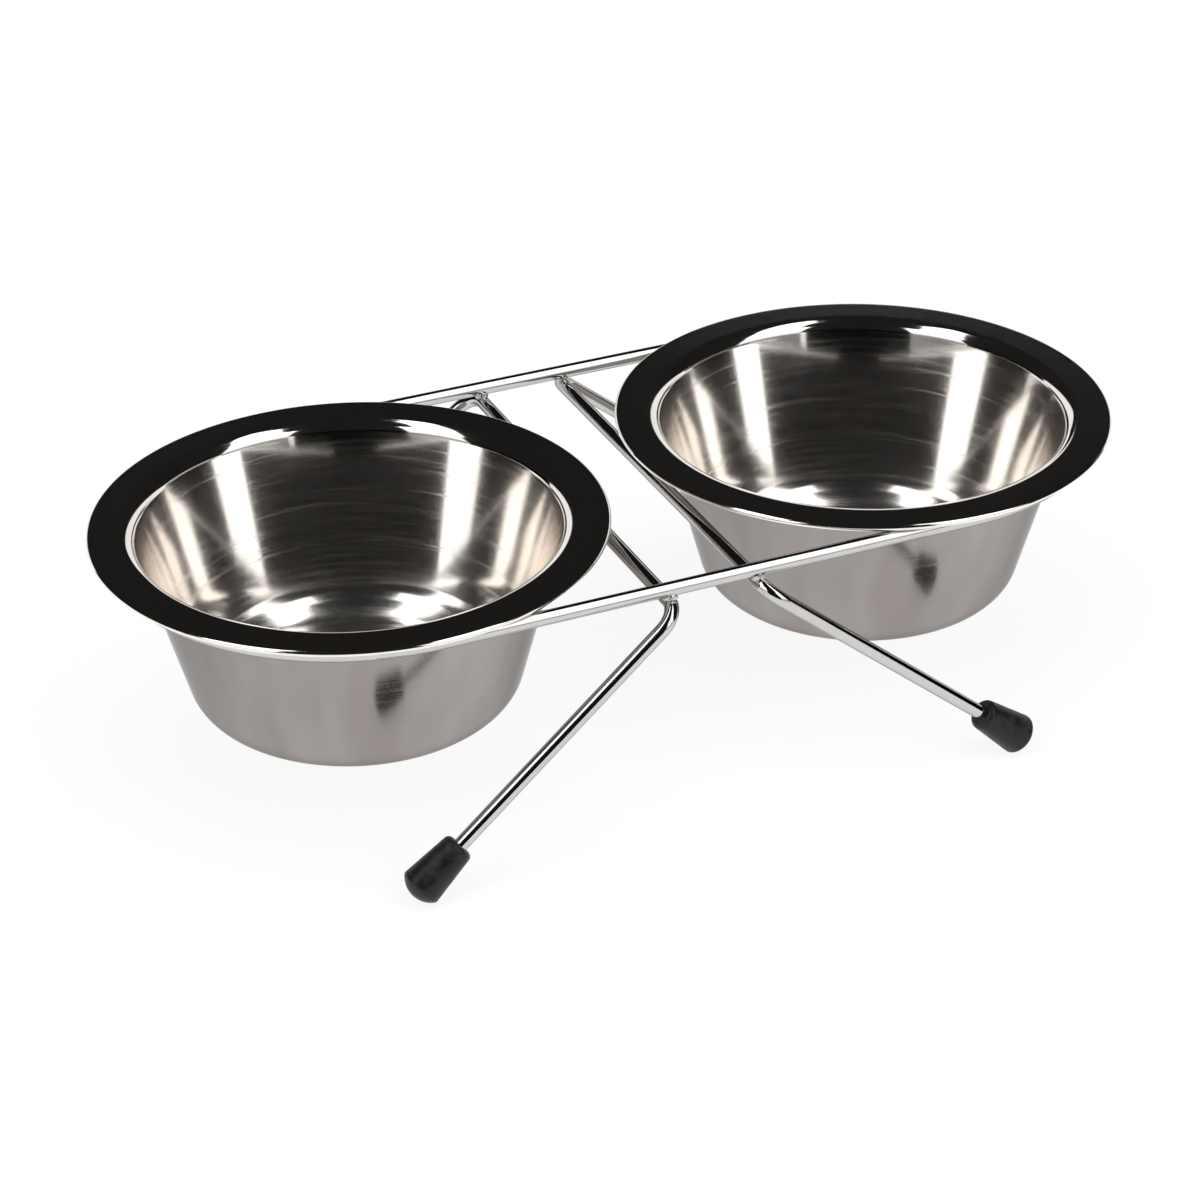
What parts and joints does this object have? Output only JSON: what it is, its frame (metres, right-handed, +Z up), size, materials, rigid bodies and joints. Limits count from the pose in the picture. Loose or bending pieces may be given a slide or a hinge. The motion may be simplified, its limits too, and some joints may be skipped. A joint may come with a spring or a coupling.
{
  "type": "double pet bowl",
  "caption": "Round steel feeding bowls hung by their flat rims, side by side, in a low chromed wire stand with splayed legs and rubber feet.",
  "frame": {"origin": "middle of the stand, on the floor between the four feet", "axes": "+X along the two bowls towards the right one, -Y the front, +Z up"},
  "size_m": [0.3364, 0.1826, 0.084],
  "materials": {
    "bowl_steel": "polished stainless steel",
    "wire_chrome": "bright chrome plate",
    "weld_chrome": "chrome plate over a weld",
    "foot_rubber": "satin black rubber"
  },
  "bodies": {
    "frame": {"frame_hoop": "wire_chrome", "leg_left": "wire_chrome", "leg_right": "wire_chrome", "frame_welds": "weld_chrome", "foot_front_left": "foot_rubber", "foot_back_left": "foot_rubber", "foot_front_right": "foot_rubber", "foot_back_right": "foot_rubber"},
    "bowl_left": {"bowl_left": "bowl_steel"},
    "bowl_right": {"bowl_right": "bowl_steel"}
  },
  "joints": [
    {"name": "bowl_left_lift", "type": "slide", "parent": "frame", "child": "bowl_left", "axis": [0, 0, 1], "range_m": [0, 0.07]},
    {"name": "bowl_right_lift", "type": "slide", "parent": "frame", "child": "bowl_right", "axis": [0, 0, 1], "range_m": [0, 0.07]}
  ]
}
